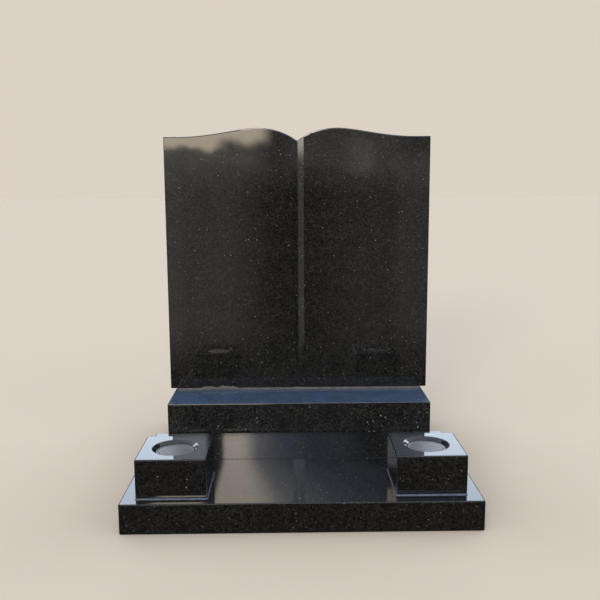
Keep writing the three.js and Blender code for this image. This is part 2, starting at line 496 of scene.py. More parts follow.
@dataclass(frozen=True)
class SpunMetalFinish:
    """Satin aluminium with the rings that spinning leaves, and a film of dust."""

    name: str
    axis: Point
    metal: Colour = (0.125, 0.120, 0.118)
    dust_and_sheen_tint: Colour = (0.075, 0.070, 0.066)
    dust_and_sheen: float = 0.35
    dust_cloud: float = 0.03
    ring_width: float = 0.0011
    ring_height: float = 0.000012
    roughness: float = 0.34
    smoothest: float = -0.05
    roughest: float = 0.08

    def make(self, effects: Effects) -> Material:
        """Build the material.

        Args:
            effects: the shared shader groups.

        Returns:
            The finished material.
        """
        material, sheet, shader = new_material(self.name)
        from_axis = object_place(sheet, tuple(-part for part in self.axis))
        flat = sheet.vector("MULTIPLY", from_axis, (1.0, 1.0, 0.0))
        length = sheet.add("ShaderNodeVectorMath", {0: flat}, operation="LENGTH")
        turns = sheet.math("DIVIDE", length.outputs["Value"], self.ring_width)
        feeds = {"W": turns, "Scale": 1.0, "Detail": 2.0}
        rings = sheet.add("ShaderNodeTexNoise", feeds, noise_dimensions="1D").outputs[0]
        sizes = {"Vector": from_axis, "Amount": self.dust_and_sheen, "Cloud Size": self.dust_cloud}
        dust_and_sheen = sheet.group(effects.dust_and_sheen, sizes)["Mask"]
        colour = sheet.blend(dust_and_sheen, self.metal, self.dust_and_sheen_tint)
        ends = (self.roughness + self.smoothest, self.roughness + self.roughest)
        rough = sheet.remap(rings, NOISE_SPREAD, ends)
        normal = sheet.bump(rings, self.ring_height)
        sheet.fill(shader, {"Base Color": colour, "Roughness": rough, "Normal": normal})
        sheet.fill(shader, {"Metallic": sheet.minus(1.0, dust_and_sheen)})
        return material


class Finishes:
    """All materials of the headstone, by what they cover."""

    def __init__(self, effects: Effects) -> None:
        """Build every material.

        Args:
            effects: the shared shader groups.
        """
        self.effects = effects
        self.book = GraniteFinish("book_granite", (0.31, 0.17, 0.05)).make(effects)
        # the plinth takes a lighter copy of the same granite: painted light that lifts its shaded
        # front
        self.plinth = GraniteFinish(
            "plinth_granite",
            (1.37, 0.62, 0.4),
            # the plinth's tops get the bluish film: a painted sky sheen over a little dust
            dust_and_sheen=0.14,
            mineral=(0.0225, 0.0215, 0.0198),
            fleck=(0.066, 0.063, 0.057),
        ).make(effects)
        # a darker copy of the same granite for the slab and vase blocks: painted shade that dims their
        # tone
        low = {
            "mineral": (0.0138, 0.0132, 0.0122),
            "fleck": (0.042, 0.040, 0.036),
            "crystal": (0.105, 0.105, 0.11),
        }
        vase_stone = (3.7, 2.2, 1.6)
        self.slab = GraniteFinish("slab_granite", (2.11, 1.3, 0.9), **low).make(effects)
        self.vase = GraniteFinish("vase_block_granite", vase_stone, **low).make(effects)
        self.honed = GraniteFinish(
            "honed_rim_granite",
            vase_stone,
            body=(0.024, 0.029, 0.040),
            mineral=(0.062, 0.070, 0.086),
            polish=0.24,
            fleck_roughness=0.3,
        ).make(effects)
        self.mortar = MortarFinish(
            "bed_mortar", light=(0.105, 0.10, 0.092), dark=(0.06, 0.057, 0.052)
        ).make(effects)
        self.smear = MortarFinish(
            "smeared_mortar", light=(0.30, 0.255, 0.205), dark=(0.15, 0.128, 0.105)
        ).make(effects)
        # bluish grey bead: pale pointing with a painted sky reflection in its tone
        self.pointing = MortarFinish(
            "joint_pointing_sky_tint",
            light=(0.090, 0.108, 0.142),
            dark=(0.060, 0.070, 0.094),
            sand_size=0.0006,
            sand_height=0.0001,
            roughness=0.6,
        ).make(effects)
        # near-black joint: dark pointing with the shade of the recessed joint painted in
        self.shaded_joint = MortarFinish(
            "joint_mortar_painted_shade", light=(0.012, 0.0115, 0.011), dark=(0.005, 0.005, 0.005)
        ).make(effects)

    def spun(self, name: str, axis: Point) -> Material:
        """Make the metal of one lid or container, with rings round its own axis."""
        return SpunMetalFinish(name, axis).make(self.effects)


def mesh_object(name: str, mesh: bpy.types.Mesh) -> Piece:
    """Put a mesh in the scene as an object at the origin."""
    made = bpy.data.objects.new(name, mesh)
    bpy.context.scene.collection.objects.link(made)
    return made


def form_of(mesh: bpy.types.Mesh) -> Form:
    """Take a mesh up as a form that can be worked on."""
    form = bmesh.new()
    form.from_mesh(mesh)
    return form


def box_form(low: Vector, high: Vector, arris: float, steps: int = ARRIS_STEPS) -> Form:
    """Make a block with rounded arrises.

    Args:
        low: its lowest corner.
        high: its highest corner.
        arris: how far the rounding eats into each face.
        steps: faces across the rounding.

    Returns:
        The block, ready to be made a mesh.
    """
    form = bmesh.new()
    bmesh.ops.create_cube(form, size=1.0)
    bmesh.ops.scale(form, vec=high - low, verts=form.verts)
    bmesh.ops.translate(form, vec=(low + high) / 2, verts=form.verts)
    round_edges(form, form.edges, arris, steps)
    return form


def round_edges(form: Form, edges: Iterable[bmesh.types.BMEdge], arris: float, steps: int) -> None:
    """Round the given edges of a form."""
    bmesh.ops.bevel(
        form,
        geom=list(edges),
        offset=arris,
        offset_type="OFFSET",
        segments=steps,
        profile=0.5,
        affect="EDGES",
        clamp_overlap=True,
    )


def lathe_form(profile: Sequence[Span], steps: int) -> Form:
    """Turn a profile round the Z axis into a closed form.

    Args:
        profile: radius and height of each point, from pole to pole.
        steps: how many flats there are round it.

    Returns:
        The turned form, with its faces pointing outwards.
    """
    form = bmesh.new()
    rings: list[list[bmesh.types.BMVert]] = []
    for radius, height in profile:
        if radius == 0.0:
            rings.append([form.verts.new((0.0, 0.0, height))])
            continue
        turns = (2 * math.pi * step / steps for step in range(steps))
        around = [(radius * math.cos(turn), radius * math.sin(turn), height) for turn in turns]
        rings.append([form.verts.new(point) for point in around])
    for lower, upper in zip(rings, rings[1:]):
        for step in range(steps):
            ahead = (step + 1) % steps
            corners = [lower[step % len(lower)]]
            if len(lower) > 1:
                corners.append(lower[ahead])
            if len(upper) > 1:
                corners.append(upper[ahead])
            corners.append(upper[step % len(upper)])
            form.faces.new(corners)
    bmesh.ops.recalc_face_normals(form, faces=form.faces)
    if form.calc_volume(signed=True) < 0:
        bmesh.ops.reverse_faces(form, faces=form.faces)
    return form


def skin(form: Form, stations: Iterable[tuple[float, Sequence[Span]]]) -> None:
    """Join a row of cross-sections into a closed skin.

    Args:
        form: the form that gets the skin.
        stations: each section's place along X, with the Y and Z of its corners.
    """
    rows = [[form.verts.new((x, y, z)) for y, z in section] for x, section in stations]
    for left, right in zip(rows, rows[1:]):
        for here in range(len(left)):
            there = (here + 1) % len(left)
            form.faces.new((left[here], left[there], right[there], right[here]))
    form.faces.new(rows[0])
    form.faces.new(reversed(rows[-1]))


def to_mesh(
    name: str,
    form: Form,
    is_smooth: Callable[[bmesh.types.BMFace], bool] = lambda face: False,
    crease: float = math.radians(30),
) -> bpy.types.Mesh:
    """Turn a form into a mesh.

    Args:
        name: the mesh's name.
        form: the form, which is freed.
        is_smooth: tells the faces that are shaded as curved.
        crease: the angle over which curved faces meet at a sharp line.

    Returns:
        The mesh.
    """
    form.normal_update()
    for face in form.faces:
        face.smooth = is_smooth(face)
    for edge in form.edges:
        edge.smooth = edge.is_manifold and edge.calc_face_angle() <= crease
    mesh = bpy.data.meshes.new(name)
    form.to_mesh(mesh)
    form.free()
    return mesh


def run_nodes(name: str, tree: Tree, settings: dict[str, Any]) -> Piece:
    """Run a Geometry Nodes tree once and keep what it makes as a plain mesh.

    Args:
        name: the piece's name.
        tree: the tree.
        settings: the tree's inputs by name.

    Returns:
        An object without modifiers.
    """
    host = mesh_object(name, bpy.data.meshes.new(name + "_start"))
    modifier = host.modifiers.new("form", "NODES")
    modifier.node_group = tree
    for item in tree.interface.items_tree:
        if item.item_type == "SOCKET" and item.in_out == "INPUT":
            modifier[item.identifier] = settings[item.name]
    graph = bpy.context.evaluated_depsgraph_get()
    made = bpy.data.meshes.new_from_object(host.evaluated_get(graph))
    made.name = name
    host.modifiers.remove(modifier)
    host.data = made
    return host


def clad(sheet: NodeSheet, geometry: Socket, material: Socket) -> Socket:
    """End a geometry tree: make instances real and give them their material."""
    real = sheet.add("GeometryNodeRealizeInstances", {"Geometry": geometry})
    feeds = {"Geometry": real.outputs["Geometry"], "Material": material}
    return sheet.add("GeometryNodeSetMaterial", feeds).outputs["Geometry"]


def dress(
    piece: Piece,
    finish: Material,
    nodes: Iterable[str] = (),
    other_finishes: Iterable[Material] = (),
) -> Piece:
    """Give a piece its finish and its place in the frame.

    Args:
        piece: the finished object.
        finish: its material.
        nodes: the frame's solids that it stands for.
        other_finishes: what its faces of material index 1 and up are made of.

    Returns:
        The piece.
    """
    piece.data.materials.clear()
    for material in (finish, *other_finishes):
        piece.data.materials.append(material)
    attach(piece, BODY)
    if nodes:
        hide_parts(*nodes)
    LOG.info("%s: %d faces", piece.name, len(piece.data.polygons))
    return piece


def recoat(nodes: dict[str, Piece], name: str, finish: Material) -> None:
    """Give a solid of the frame that stays a better material."""
    for slot in nodes[name].material_slots:
        slot.material = finish
    LOG.info("%s: kept from the frame", name)


@dataclass
class BookTablet:
    """The open book: two pages that swell from a V groove, cut from one stone."""

    finish: Material
    node: str = "book_tablet"
    crest_offset: float = 0.108
    crest_rise: float = 0.023
    valley_drop: float = 0.011
    wave_end: float = 0.320
    crest_roundness: float = 2.2
    shoulder_warp: float = 0.82
    groove_width: float = 0.034
    groove_floor: float = 0.002
    groove_depth: float = 0.006
    crest_steps: int = 24
    shoulder_steps: int = 40
    weld: float = 1e-5
    arris: float = ARRIS
    sharp_edge: float = math.radians(25)
    edge_on: float = 0.01
    upward: float = 0.5

    def settings(self) -> dict[str, Any]:
        """Give the tree's inputs.

        Returns:
            The sizes read from the frame, then this class's own, by label.
        """
        low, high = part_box(self.node)
        wave = ("crest_offset", "crest_rise", "valley_drop", "wave_end", "crest_roundness")
        groove = ("groove_width", "groove_floor", "groove_depth")
        steps = ("crest_steps", "shoulder_steps")
        return {
            "Stone": self.finish,
            "Half Width": (high.x - low.x) / 2,
            "Corner Height": high.z - self.crest_rise - low.z,
            "Thickness": high.y - low.y,
            "Face Y": low.y,
            "Foot Z": low.z,
            **own_sizes(self, *wave, "shoulder_warp", *groove, *steps),
        }

    def tree(self, settings: dict[str, Any]) -> Tree:
        """Build the tree that makes the book from its sizes.

        Args:
            settings: the inputs that the tree gets, by label.

        Returns:
            The geometry tree.
        """
        inputs = sockets_for(settings)
        sheet, size, wanted = new_group("open_book", "GeometryNodeTree", inputs, GEOMETRY)
        across, count = self._stations(sheet, size)
        line = sheet.add("GeometryNodeMeshLine", {"Count": count, "Offset": (0, 0, 0)})
        foot = sheet.xyz(X=across, Y=size["Face Y"], Z=size["Foot Z"])
        laid = self._move(sheet, line.outputs["Mesh"], "Position", foot)
        raised = self._extrude(sheet, laid, sheet.xyz(Z=size["Corner Height"]), "EDGES")
        parts = sheet.parts(sheet.add("GeometryNodeInputPosition").outputs[0])
        distance = sheet.math("ABSOLUTE", parts["X"])
        middle = sheet.plus(size["Foot Z"], sheet.times(size["Corner Height"], 0.5))
        is_top = sheet.math("GREATER_THAN", parts["Z"], middle)
        rise = sheet.times(self._page_rise(sheet, size, distance), is_top)
        sheet_face = self._move(sheet, raised, "Offset", sheet.xyz(Z=rise))
        walls = self._extrude(sheet, sheet_face, sheet.xyz(Y=size["Thickness"]), "FACES")
        front = sheet.add("GeometryNodeFlipFaces", {"Mesh": sheet_face})
        joined = sheet.add("GeometryNodeJoinGeometry")
        for part in (walls, front.outputs["Mesh"]):
            sheet.tree.links.new(part, joined.inputs[0])
        feeds = {"Geometry": joined.outputs[0], "Distance": self.weld}
        shell = sheet.add("GeometryNodeMergeByDistance", feeds).outputs["Geometry"]
        flanks = [sheet.times(size[label], 0.5) for label in ("Groove Floor", "Groove Width")]
        depth = sheet.remap(distance, flanks, (size["Groove Depth"], 0.0))
        mid_plane = sheet.plus(size["Face Y"], sheet.times(size["Thickness"], 0.5))
        is_front = sheet.math("LESS_THAN", parts["Y"], mid_plane)
        grooved = self._move(sheet, shell, "Offset", sheet.xyz(Y=sheet.times(depth, is_front)))
        sheet.feed(wanted["Geometry"], clad(sheet, grooved, size["Stone"]))
        return sheet.tree

    @staticmethod
    def _stations(sheet: NodeSheet, size: Any) -> tuple[Socket, Socket]:
        """Place the stations across the book, with one exactly on each line.

        Args:
            sheet: the tree being filled.
            size: the tree's inputs.

        Returns:
            Each station's place across, and how many stations there are.
        """
        half_floor = sheet.times(size["Groove Floor"], 0.5)
        half_groove = sheet.times(size["Groove Width"], 0.5)
        crest_at = sheet.plus(2.0, size["Crest Steps"])
        wave_at = sheet.plus(crest_at, size["Shoulder Steps"])
        last = sheet.plus(wave_at, 1.0)
        index = sheet.add("GeometryNodeInputIndex").outputs[0]
        signed = sheet.minus(index, last)
        step = sheet.math("ABSOLUTE", signed)
        spans = (
            (0.0, 1.0, half_floor),
            (1.0, 2.0, sheet.minus(half_groove, half_floor)),
            (2.0, crest_at, sheet.minus(size["Crest Offset"], half_groove)),
            (crest_at, wave_at, sheet.minus(size["Wave End"], size["Crest Offset"])),
            (wave_at, last, sheet.minus(size["Half Width"], size["Wave End"])),
        )
        reach: Any = 0.0
        for first, second, length in spans:
            reach = sheet.plus(reach, sheet.remap(step, (first, second), (0.0, length)))
        across = sheet.times(reach, sheet.math("SIGN", signed))
        return across, sheet.plus(sheet.times(last, 2.0), 1.0)

    @staticmethod
    def _page_rise(sheet: NodeSheet, size: Any, distance: Socket) -> Socket:
        """Give how far the page top stands over the corners.

        Args:
            sheet: the tree being filled.
            size: the tree's inputs.
            distance: how far the point is from the spine.

        Returns:
            The rise, which is under zero in the valley.
        """
        from_crest = sheet.remap(distance, (0.0, size["Crest Offset"]), FALLING)
        fall = sheet.math("POWER", from_crest, size["Crest Roundness"])
        depth = sheet.plus(size["Crest Rise"], size["Valley Drop"])
        inner = sheet.minus(size["Crest Rise"], sheet.times(depth, fall))
        along = sheet.remap(distance, (size["Crest Offset"], size["Wave End"]))
        warped = sheet.math("POWER", along, size["Shoulder Warp"])
        wave = sheet.math("COSINE", sheet.times(warped, math.pi))
        outer = sheet.times(sheet.times(size["Crest Rise"], 0.5), sheet.plus(1.0, wave))
        is_outer = sheet.math("GREATER_THAN", distance, size["Crest Offset"])
        return sheet.plus(inner, sheet.times(sheet.minus(outer, inner), is_outer))

    @staticmethod
    def _move(sheet: NodeSheet, geometry: Socket, label: str, value: Socket) -> Socket:
        """Set or shift positions, as the label of the fed input says."""
        node = sheet.add("GeometryNodeSetPosition", {"Geometry": geometry, label: value})
        return node.outputs["Geometry"]

    @staticmethod
    def _extrude(sheet: NodeSheet, mesh: Socket, offset: Socket, mode: str) -> Socket:
        """Extrude edges or faces as one sheet."""
        feeds = {"Mesh": mesh, "Offset": offset, "Offset Scale": 1.0}
        if mode == "FACES":
            feeds["Individual"] = False
        return sheet.add("GeometryNodeExtrudeMesh", feeds, mode=mode).outputs["Mesh"]

    def build(self) -> Piece:
        """Make the book and set it in the frame.

        Returns:
            The dressed tablet.
        """
        name = "book_tablet_stone"
        settings = self.settings()
        piece = run_nodes(name, self.tree(settings), settings)
        form = form_of(piece.data)
        bmesh.ops.recalc_face_normals(form, faces=form.faces)
        form.normal_update()
        ridges = [edge for edge in form.edges if edge.is_manifold and edge.is_convex]
        arrises = [edge for edge in ridges if edge.calc_face_angle() > self.sharp_edge]
        round_edges(form, arrises, self.arris, ARRIS_STEPS)
        form.normal_update()

        def on_page_top(face: bmesh.types.BMFace) -> bool:
            """Tell the waved faces of the two page tops."""
            return abs(face.normal.y) < self.edge_on and face.normal.z > self.upward

        piece.data = to_mesh(name, form, on_page_top)
        return dress(piece, self.finish, [self.node])


@dataclass
class PlainStone:
    """A sawn and polished block with rounded arrises, such as plinth or slab."""

    node: str
    piece_name: str
    finish: Material
    arris: float = ARRIS

    def build(self) -> Piece:
        """Make the stone over its solid and set it in the frame.

        Returns:
            The dressed stone.
        """
        low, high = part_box(self.node)
        mesh = to_mesh(self.piece_name, box_form(low, high, self.arris))
        piece = mesh_object(self.piece_name, mesh)
        return dress(piece, self.finish, [self.node])


class Hand(Enum):
    """Which of the two vase blocks a piece belongs to."""

    LEFT = "left"
    RIGHT = "right"


@dataclass
class VaseBlock:
    """A cube-like block bored for a flower container, with a bevelled rim."""

    hand: Hand
    finish: Material
    bore_finish: Material
    arris: float = ARRIS
    rim_radius: float = 0.0495
    rim_break: float = 0.0005
    break_belly: float = 0.45
    bevel_run: float = 0.007
    bevel_depth: float = 0.0065
    ledge_top_gap: float = 0.010
    bore_radius: float = 0.0395
    bore_depth: float = 0.075
    round_steps: int = 96
    overrun: float = 0.01
    level_normal: float = 0.95

    def _bore(self, top: float) -> Form:
        """Make what the drill and the rim cutter take away.

        Args:
            top: the height of the block's top.

        Returns:
            The removed form, round the Z axis.
        """
        seat = self.rim_radius - self.bevel_run
        ledge = top - self.ledge_top_gap
        floor = top - self.bore_depth
        break_out = self.rim_radius + 2 * self.rim_break
        profile = [
            (0.0, floor),
            (self.bore_radius, floor),
            (self.bore_radius, ledge),
            (seat, ledge),
            (seat, top - self.bevel_depth),
            (self.rim_radius - self.rim_break, top - self.rim_break),
            (self.rim_radius, top - self.rim_break * self.break_belly),
            (break_out, top),
            (break_out, top + self.overrun),
            (0.0, top + self.overrun),
        ]
        return lathe_form(profile, self.round_steps)

    def build(self) -> Piece:
        """Make the block over its solid and set it in the frame.

        Returns:
            The dressed block.
        """
        node = f"vase_block_{self.hand.value}"
        name = node + "_stone"
        low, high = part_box(node)
        centre = (low + high) / 2
        piece = mesh_object(name, to_mesh(name, box_form(low, high, self.arris)))
        bore = self._bore(high.z)
        bmesh.ops.translate(bore, vec=(centre.x, centre.y, 0.0), verts=bore.verts)
        cutter = mesh_object(name + "_bore", to_mesh(name + "_bore", bore))
        cut = piece.modifiers.new("bore", "BOOLEAN")
        cut.operation, cut.solver, cut.object = "DIFFERENCE", "EXACT", cutter
        graph = bpy.context.evaluated_depsgraph_get()
        drilled = bpy.data.meshes.new_from_object(piece.evaluated_get(graph))
        piece.modifiers.clear()
        bpy.data.objects.remove(cutter)
        form = form_of(drilled)
        edge = self.rim_radius + 3 * self.rim_break

        def in_bore(face: bmesh.types.BMFace) -> bool:
            """Tell the turned faces of the rim and the bore."""
            places = [vert.co - centre for vert in face.verts]
            inside = all(math.hypot(place.x, place.y) < edge for place in places)
            return inside and abs(face.normal.z) < self.level_normal

        for face in form.faces:
            face.material_index = 1 if in_bore(face) else 0
        piece.data = to_mesh(name, form, in_bore)
        return dress(piece, self.finish, [node], [self.bore_finish])


@dataclass
class FlowerContainer:
    """The metal container in a block's bore, and the plain lid that closes it.

    Each point of the dish curve is how many edge rolls it lies in from the rim,
    and its share of the dish's depth.
    """

    hand: Hand
    finishes: Finishes
    nodes: dict[str, Piece]
    foot_inset: float = 0.0004
    foot_rise: float = 0.0005
    edge_roll: float = 0.0024
    roll_steps: int = 6
    dish: float = 0.0006
    dish_curve: tuple[Span, ...] = ((1.5, 0.35), (2.0, 0.85), (2.6, 1.0))
    flat_radius: float = 0.010
    round_steps: int = 96

    def build(self) -> Piece:
        """Dress the container that stays, and spin the lid.

        Returns:
            The dressed lid.
        """
        holder = f"flower_container_{self.hand.value}"
        node = f"container_lid_{self.hand.value}"
        low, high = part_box(node)
        centre = (low + high) / 2
        axis = (centre.x, centre.y, 0.0)
        recoat(self.nodes, holder, self.finishes.spun(holder + "_metal", axis))
        radius, roll, foot = (high.x - low.x) / 2, self.edge_roll, low.z + self.foot_rise
        profile = [(0.0, low.z), (radius - self.foot_inset, low.z), (radius, foot)]
        crown = high.z - low.z - self.foot_rise
        for step in range(1, self.roll_steps + 1):
            turn = math.pi / 2 * step / self.roll_steps
            point = (radius - roll * (1 - math.cos(turn)), foot + crown * math.sin(turn))
            profile.append(point)
        for rolls, share in self.dish_curve:
            profile.append((radius - rolls * roll, high.z - share * self.dish))
        profile += [(self.flat_radius, high.z - self.dish), (0.0, high.z - self.dish)]
        form = lathe_form(profile, self.round_steps)
        bmesh.ops.translate(form, vec=axis, verts=form.verts)
        name = node + "_spun"
        piece = mesh_object(name, to_mesh(name, form, lambda face: True))
        return dress(piece, self.finishes.spun(name, axis), [node])


@dataclass
class PointingBead:
    """The bed under a vase block and the struck bead that runs round its foot."""

    hand: Hand
    finish: Material
    bead_radius: float = 0.0012
    bead_height: float = 0.0009
    corner_radius: float = 0.004
    corner_steps: int = 6
    path_margin: float = 0.001
    waviness: float = 0.0005
    wave_scale: float = 55.0
    wave_gain: float = 3.0
    points: int = 320
    sides: int = 10
    bed_inset: float = 0.001
    bed_arris: float = 0.0003

    def settings(self, bed_foot: float) -> dict[str, Any]:
        """Give the tree's inputs.

        Args:
            bed_foot: the height of the bed's underside.

        Returns:
            The sizes read from the frame, then this class's own, by label.
        """
        low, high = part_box(f"vase_block_{self.hand.value}")
        centre = (low + high) / 2
        return {
            "Width": high.x - low.x + self.path_margin,
            "Depth": high.y - low.y + self.path_margin,
            "Seed": 3.0 if self.hand is Hand.LEFT else 8.0,
            "Place": (centre.x, centre.y, bed_foot + self.bead_height),
            "Pointing": self.finish,
            **own_sizes(self, "corner_radius", "bead_radius", "waviness", "points", "sides"),
        }

    def tree(self, settings: dict[str, Any]) -> Tree:
        """Build the tree that sweeps a bead along the block's foot.

        Args:
            settings: the inputs that the tree gets, by label.

        Returns:
            The geometry tree.
        """
        name, inputs = f"foot_bead_{self.hand.value}", sockets_for(settings)
        sheet, size, wanted = new_group(name, "GeometryNodeTree", inputs, GEOMETRY)
        feeds = {"Width": size["Width"], "Height": size["Depth"]}
        path = sheet.add("GeometryNodeCurvePrimitiveQuadrilateral", feeds)
        turned = sheet.add("GeometryNodeFilletCurve", {0: path.outputs[0]})
        if hasattr(turned, "mode"):
            turned.mode = "POLY"
        sheet.fill(turned, {"Radius": size["Corner Radius"], "Count": self.corner_steps})
        feeds = {0: turned.outputs[0], "Count": size["Points"]}
        even = sheet.add("GeometryNodeResampleCurve", feeds)
        where = sheet.add("GeometryNodeInputPosition").outputs[0]
        feeds = {"Vector": where, "W": size["Seed"], "Scale": self.wave_scale, "Detail": 2.0}
        wander = sheet.add("ShaderNodeTexNoise", feeds, noise_dimensions="4D")
        centred = sheet.vector("SUBTRACT", wander.outputs[1], (0.5, 0.5, 0.5))
        shift = sheet.scaled(centred, sheet.times(size["Waviness"], self.wave_gain))
        feeds = {"Geometry": even.outputs[0], "Offset": shift}
        moved = sheet.add("GeometryNodeSetPosition", feeds)
        feeds = {"Geometry": moved.outputs[0], "Translation": size["Place"]}
        placed = sheet.add("GeometryNodeTransform", feeds)
        feeds = {"Resolution": size["Sides"], "Radius": size["Bead Radius"]}
        ring = sheet.add("GeometryNodeCurvePrimitiveCircle", feeds)
        feeds = {"Curve": placed.outputs[0], "Profile Curve": ring.outputs[0]}
        swept = sheet.add("GeometryNodeCurveToMesh", feeds)
        sheet.feed(wanted["Geometry"], clad(sheet, swept.outputs[0], size["Pointing"]))
        return sheet.tree

    def build(self) -> Piece:
        """Make bed and bead as one piece and set them in the frame.

        Returns:
            The dressed piece.
        """
        node = f"vase_bedding_{self.hand.value}"
        name = node + "_bead"
        low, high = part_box(node)
        stone_low, stone_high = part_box(f"vase_block_{self.hand.value}")
        settings = self.settings(low.z)
        piece = run_nodes(name, self.tree(settings), settings)
        form = form_of(piece.data)
        inset = self.bed_inset
        bed = box_form(
            Vector((stone_low.x + inset, stone_low.y + inset, low.z)),
            Vector((stone_high.x - inset, stone_high.y - inset, high.z)),
            self.bed_arris,
            1,
        )
        bed_mesh = bpy.data.meshes.new("bed")
        bed.to_mesh(bed_mesh)
        bed.free()
        form.from_mesh(bed_mesh)
        bpy.data.meshes.remove(bed_mesh)
        bmesh.ops.recalc_face_normals(form, faces=form.faces)
        piece.data = to_mesh(name, form, lambda face: True)
        return dress(piece, self.finish, [node])


@dataclass
class BookBed:
    """The mortar that the book stands in, with the smear left on its face.

    The waves are how often each one wavers in a metre, its own draw of the noise
    and its share of the wander.
    """

    finish: Material
    smear_finish: Material
    node: str = "book_bedding"
    wander: float = 0.0011
    waves: tuple[Point, ...] = ((40.0, 3.1, 1.0), (160.0, 7.7, 0.5))
    belly: float = 0.4
    overlap: float = 0.006
    step: float = 0.003
    smear_from: float = -0.275
    smear_to: float = -0.172
    smear_steps: int = 40
    smear_height: float = 0.0085
    smear_thickness: float = 0.0005
    smear_fullness: float = 0.35
    smear_foot: float = 0.002
    smear_bite: float = 0.001
    edge_bite: float = 0.0002
    lowest_smear: float = 0.0008
    ragged_scale: float = 120.0
    ragged_draw: float = 1.7
    gap_at: float = 0.42
    gap_width: float = 0.07
    gap_depth: float = 0.75

    def _strip(self, low: Vector, high: Vector) -> Form:
        """Make the bed as a strip whose long edges wander.

        Args:
            low: the lowest corner of the solid.
            high: the highest corner of the solid.

        Returns:
            The closed strip.
        """
        first, last = low.x - self.overlap, high.x + self.overlap
        count = round((last - first) / self.step)
        middle = (low.z + high.z) / 2
        belly = self.belly * self.wander
        stations = []
        for index in range(count + 1):
            x = first + (last - first) * index / count
            out = 0.0
            for scale, draw, share in self.waves:
                out += share * self.wander * noise.noise(Vector((x * scale, draw, 0.0)))
            section = [
                (low.y - out, low.z),
                (low.y - out - belly, middle),
                (low.y - out, high.z),
                (high.y + out, high.z),
                (high.y + out + belly, middle),
                (high.y + out, low.z),
            ]
            stations.append((x, section))
        form = bmesh.new()
        skin(form, stations)
        return form

    def _smear(self, form: Form, face_y: float, foot_z: float) -> None:
        """Add the thin smear that was wiped up the book's face.

        Args:
            form: the form that gets it.
            face_y: the plane of the book's face.
            foot_z: the height of the book's foot.
        """
        stations = []
        for index in range(self.smear_steps + 1):
            part = index / self.smear_steps
            x = self.smear_from + (self.smear_to - self.smear_from) * part
            swell = math.sin(math.pi * part) ** self.smear_fullness if 0 < part < 1 else 0.0
            from_gap = (part - self.gap_at) / self.gap_width
            swell *= 1.0 - self.gap_depth * math.exp(-(from_gap**2))
            draw = noise.noise(Vector((x * self.ragged_scale, 0.0, self.ragged_draw)))
            reach = max(self.lowest_smear, self.smear_height * swell * (0.75 + 0.5 * draw))
            proud = self.smear_thickness * (0.4 + 0.6 * swell)
            section = [
                (face_y + self.smear_bite, foot_z - self.smear_foot),
                (face_y - 0.6 * proud, foot_z - self.smear_foot),
                (face_y - proud, foot_z + 0.35 * reach),
                (face_y - 0.7 * proud, foot_z + 0.8 * reach),
                (face_y + self.edge_bite, foot_z + reach),
                (face_y + self.smear_bite, foot_z + reach),
            ]
            stations.append((x, section))
        start = len(form.faces)
        skin(form, stations)
        form.faces.ensure_lookup_table()
        for face in form.faces[start:]:
            face.material_index = 1

    def build(self) -> Piece:
        """Make the bed and its smear and set them in the frame.

        Returns:
            The dressed piece.
        """
        low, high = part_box(self.node)
        book_low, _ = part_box("book_tablet")
        form = self._strip(low, high)
        self._smear(form, book_low.y, book_low.z)
        bmesh.ops.recalc_face_normals(form, faces=form.faces)
        name = "book_bedding_mortar"
        piece = mesh_object(name, to_mesh(name, form))
        return dress(piece, self.finish, [self.node], [self.smear_finish])


class Side(Enum):
    """Where a light patch stands, as seen from the stone."""

    BEHIND_CAMERA = "behind the camera"
    BEHIND_STONE = "behind the stone"


PATCH_EDGES = ("From", "To", "From Edge", "To Edge", "Low", "High", "Low Edge", "High Edge")


@dataclass(frozen=True)
class LightPatch:
    """A soft-edged panel of light at a great distance. Angles are in degrees."""

    side: Side
    azimuth: Span
    azimuth_edge: Span
    elevation: Span
    elevation_edge: Span
    light: Colour
    cloud: float = 0.0

    def edges(self) -> dict[str, float]:
        """Give the patch's limits by the labels of the group that masks it."""
        limits = (*self.azimuth, *self.azimuth_edge, *self.elevation, *self.elevation_edge)
        return dict(zip(PATCH_EDGES, map(float, limits)))


BACK, FRONT = Side.BEHIND_STONE, Side.BEHIND_CAMERA


